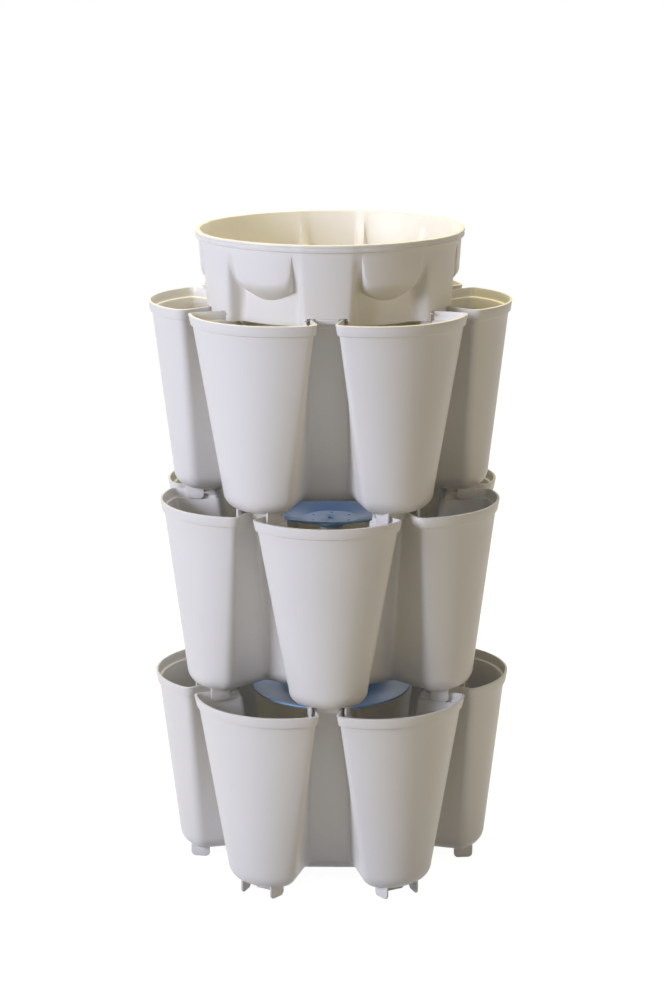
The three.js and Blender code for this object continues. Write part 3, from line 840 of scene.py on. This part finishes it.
def lobe_underside():
    """The tongue that hangs in a valley's mouth and its share of the skirts in the pockets
    beside it."""
    bm = bmesh.new()
    top = SEAT_GAP + BOWL_WALL / 2
    across = TONGUE_HALF_WIDTH - TONGUE_ROUND
    low = TONGUE_ROUND - TONGUE_DROP
    tongue = plate([
        (-TONGUE_HALF_WIDTH, top),
        *arc_points(-across, low, TONGUE_ROUND, pi, 3 * pi / 2, TONGUE_STEPS),
        *arc_points(across, low, TONGUE_ROUND, -pi / 2, 0, TONGUE_STEPS),
        (TONGUE_HALF_WIDTH, top),
    ], TONGUE_WALL)
    place = LOBE_FOOT_RADIUS - SIDE_CLEARANCE - TONGUE_WALL / 2
    join(bm, tongue, Matrix.Translation((0, place, 0)))
    outline = skirt_side(SKIRT_INSET) + skirt_side(SKIRT_INSET + SKIRT_WALL)[::-1]
    skirt = drawn_out(row(outline, -SKIRT_DROP), (0, 0, top + SKIRT_DROP))
    join(bm, skirt, Matrix.Identity(4))
    join(bm, skirt, Matrix.Scale(-1, 4, (1, 0, 0)))
    tongue.free()
    skirt.free()
    return bm


# Finishes

class Socket:
    """A socket's value in an expression: its operators add the Math nodes."""

    def __init__(self, tree, link):
        self.tree = tree
        self.link = link

    def math(self, operation, *values, clamp=False):
        settings = {"operation": operation, "use_clamp": clamp}
        return self.tree.node("ShaderNodeMath", settings, dict(enumerate(values)))

    def __add__(self, other):
        return self.math("ADD", self, other)

    def __radd__(self, other):
        return self.math("ADD", other, self)

    def __mul__(self, other):
        return self.math("MULTIPLY", self, other)

    def __rmul__(self, other):
        return self.math("MULTIPLY", other, self)

    def clamped(self):
        return self.math("ADD", self, 0, clamp=True)


class Tree:
    """The node tree of a material or of the world, with one method that adds a node."""

    def __init__(self, owner):
        owner.use_nodes = True
        self.nodes = owner.node_tree.nodes
        self.links = owner.node_tree.links
        self.nodes.clear()

    def node(self, kind, settings=None, values=None, output=0):
        made = self.nodes.new(kind)
        for name, value in (settings or {}).items():
            setattr(made, name, value)
        for name, value in (values or {}).items():
            if isinstance(value, Socket):
                self.links.new(value.link, made.inputs[name])
            else:
                made.inputs[name].default_value = value
        return Socket(self, made.outputs[output]) if made.outputs else None

    def noise(self, scale, detail=2):
        place = self.node("ShaderNodeTexCoord", output="Object")
        values = {"Vector": place, "Scale": scale, "Detail": detail}
        return self.node("ShaderNodeTexNoise", values=values)

    def mix(self, share, first, second):
        settings = {"data_type": "RGBA"}
        return self.node("ShaderNodeMix", settings, {0: share, 6: first, 7: second}, output=2)

    def seen(self):
        """1 for the camera's own rays and those in reflections or through glass, which show
        a plain background, and 0 for the light that falls on the object."""
        rays = ("Is Camera Ray", "Is Glossy Ray", "Is Transmission Ray")
        camera, glossy, clear = (self.node("ShaderNodeLightPath", output=ray) for ray in rays)
        return (camera + glossy + clear).clamped()


def stone_finish():
    """Satin cream plastic: faint flow clouds, a fine moulded texture and a soft gloss."""
    material = bpy.data.materials.new("stone_plastic")
    tree = Tree(material)
    clouds = tree.noise(STONE_CLOUDS, detail=3)
    grain = tree.noise(STONE_GRAIN)
    height = grain * STONE_GRAIN_HEIGHT + tree.noise(STONE_SWELL)
    roughness = STONE_ROUGHNESS + clouds * STONE_CLOUD_ROUGHNESS + grain * STONE_GRAIN_ROUGHNESS
    shader = tree.node("ShaderNodeBsdfPrincipled", values={
        "Base Color": tree.mix(clouds, STONE_DEEP, STONE_PALE),
        "Roughness": roughness,
        "Normal": tree.node("ShaderNodeBump", values={**STONE_BUMP, "Height": height}),
    })
    tree.node("ShaderNodeOutputMaterial", values={"Surface": shader})
    return material


def blue_finish():
    """Glossy blue plastic, a little deeper in faint clouds."""
    material = bpy.data.materials.new("blue_plastic")
    tree = Tree(material)
    clouds = tree.noise(BLUE_CLOUDS)
    grain = tree.noise(BLUE_GRAIN)
    shader = tree.node("ShaderNodeBsdfPrincipled", values={
        "Base Color": tree.mix(clouds, BLUE_DEEP, BLUE_PALE),
        "Roughness": BLUE_ROUGHNESS + clouds * BLUE_CLOUD_ROUGHNESS,
        "Specular IOR Level": BLUE_SPECULAR,
        "Normal": tree.node("ShaderNodeBump", values={**BLUE_BUMP, "Height": grain}),
    })
    tree.node("ShaderNodeOutputMaterial", values={"Surface": shader})
    return material


def floor_finish():
    """The floor: white where it is seen, with the object's shadow on it, and grey paint for
    the light that it throws back at the object."""
    material = bpy.data.materials.new("studio_white")
    tree = Tree(material)
    paint = tree.node("ShaderNodeBsdfDiffuse", values={"Color": FLOOR_PAINT})
    shade = tree.node("ShaderNodeBsdfDiffuse", values={"Color": FLOOR_SHADE})
    glow = tree.node("ShaderNodeEmission", values={"Color": WHITE, "Strength": FLOOR_GLOW})
    white = tree.node("ShaderNodeAddShader", values={0: shade, 1: glow})
    shader = tree.node("ShaderNodeMixShader", values={0: tree.seen(), 1: paint, 2: white})
    tree.node("ShaderNodeOutputMaterial", values={"Surface": shader})
    return material


# Assembly

def put(name, node, source, height, turn, material):
    """Sets a copy of a moulding in its place, dressed as the CAD node that it stands for."""
    bm = source.copy()
    place = Matrix.Translation((0, 0, height)) @ Matrix.Rotation(turn, 4, "Z")
    bmesh.ops.transform(bm, matrix=place, verts=bm.verts[:])
    piece = object_of(name, bm, material)
    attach(piece, node)
    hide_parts(node)


def camera():
    lens = bpy.data.cameras.new("photo_camera")
    lens.sensor_width = SENSOR
    lens.lens = FOCAL_PIXELS / PHOTO_HEIGHT * SENSOR
    swing = Matrix.Rotation(CAMERA_SWING, 4, "Z")
    stand = Matrix.Translation((CAMERA_OFFSET, -CAMERA_DISTANCE, CAMERA_HEIGHT))
    dip = Matrix.Rotation(pi / 2 - CAMERA_DIP, 4, "X")
    rig = linked("photo_camera", lens)
    rig.matrix_world = swing @ stand @ dip @ Matrix.Rotation(CAMERA_ROLL, 4, "Z")
    bpy.context.scene.camera = rig


def softbox(name, place, aim, size, watts, colour):
    lamp = bpy.data.lights.new(name, "AREA")
    lamp.shape = "RECTANGLE"
    lamp.size, lamp.size_y = size
    lamp.energy = watts
    lamp.color = colour
    rig = linked(name, lamp)
    rig.location = place
    rig.rotation_euler = (Vector(aim) - Vector(place)).to_track_quat("-Z", "Y").to_euler()


def studio():
    bm = bmesh.new()
    bmesh.ops.create_grid(bm, x_segments=1, y_segments=1, size=FLOOR_REACH)
    object_of("floor", bm, floor_finish())
    world = bpy.data.worlds.new("studio")
    bpy.context.scene.world = world
    tree = Tree(world)
    ambient = {"Color": AMBIENT_COLOUR, "Strength": AMBIENT_STRENGTH}
    shader = tree.node("ShaderNodeMixShader", values={
        0: tree.seen(),
        1: tree.node("ShaderNodeBackground", values=ambient),
        2: tree.node("ShaderNodeBackground", values={"Color": WHITE, "Strength": 1}),
    })
    tree.node("ShaderNodeOutputWorld", values={"Surface": shader})
    for lamp in SOFTBOXES:
        softbox(**lamp)


bpy.context.scene.view_settings.view_transform = "Standard"
camera()
studio()
stone = stone_finish()
blue = blue_finish()

tier = tier_mesh()
disk = disk_mesh()
bowl = bowl_mesh()
for level, node in enumerate(TIERS):
    height = FOOT_DROP + level * TIER_PITCH
    turn = 0 if level % 2 else HALF_PITCH
    put(node + "_moulding", node, tier, height, turn, stone)
for level, node in enumerate(DISKS):
    height = FOOT_DROP + level * TIER_PITCH + COLUMN_HEIGHT + SEAT_GAP
    put(node + "_dish", node, disk, height, 0, blue)
seat = FOOT_DROP + len(TIERS) * TIER_PITCH - SEAT_DROP - SEAT_GAP
put("water_reservoir_bowl", "water_reservoir", bowl, seat, 0, stone)
for mesh in (tier, disk, bowl):
    mesh.free()
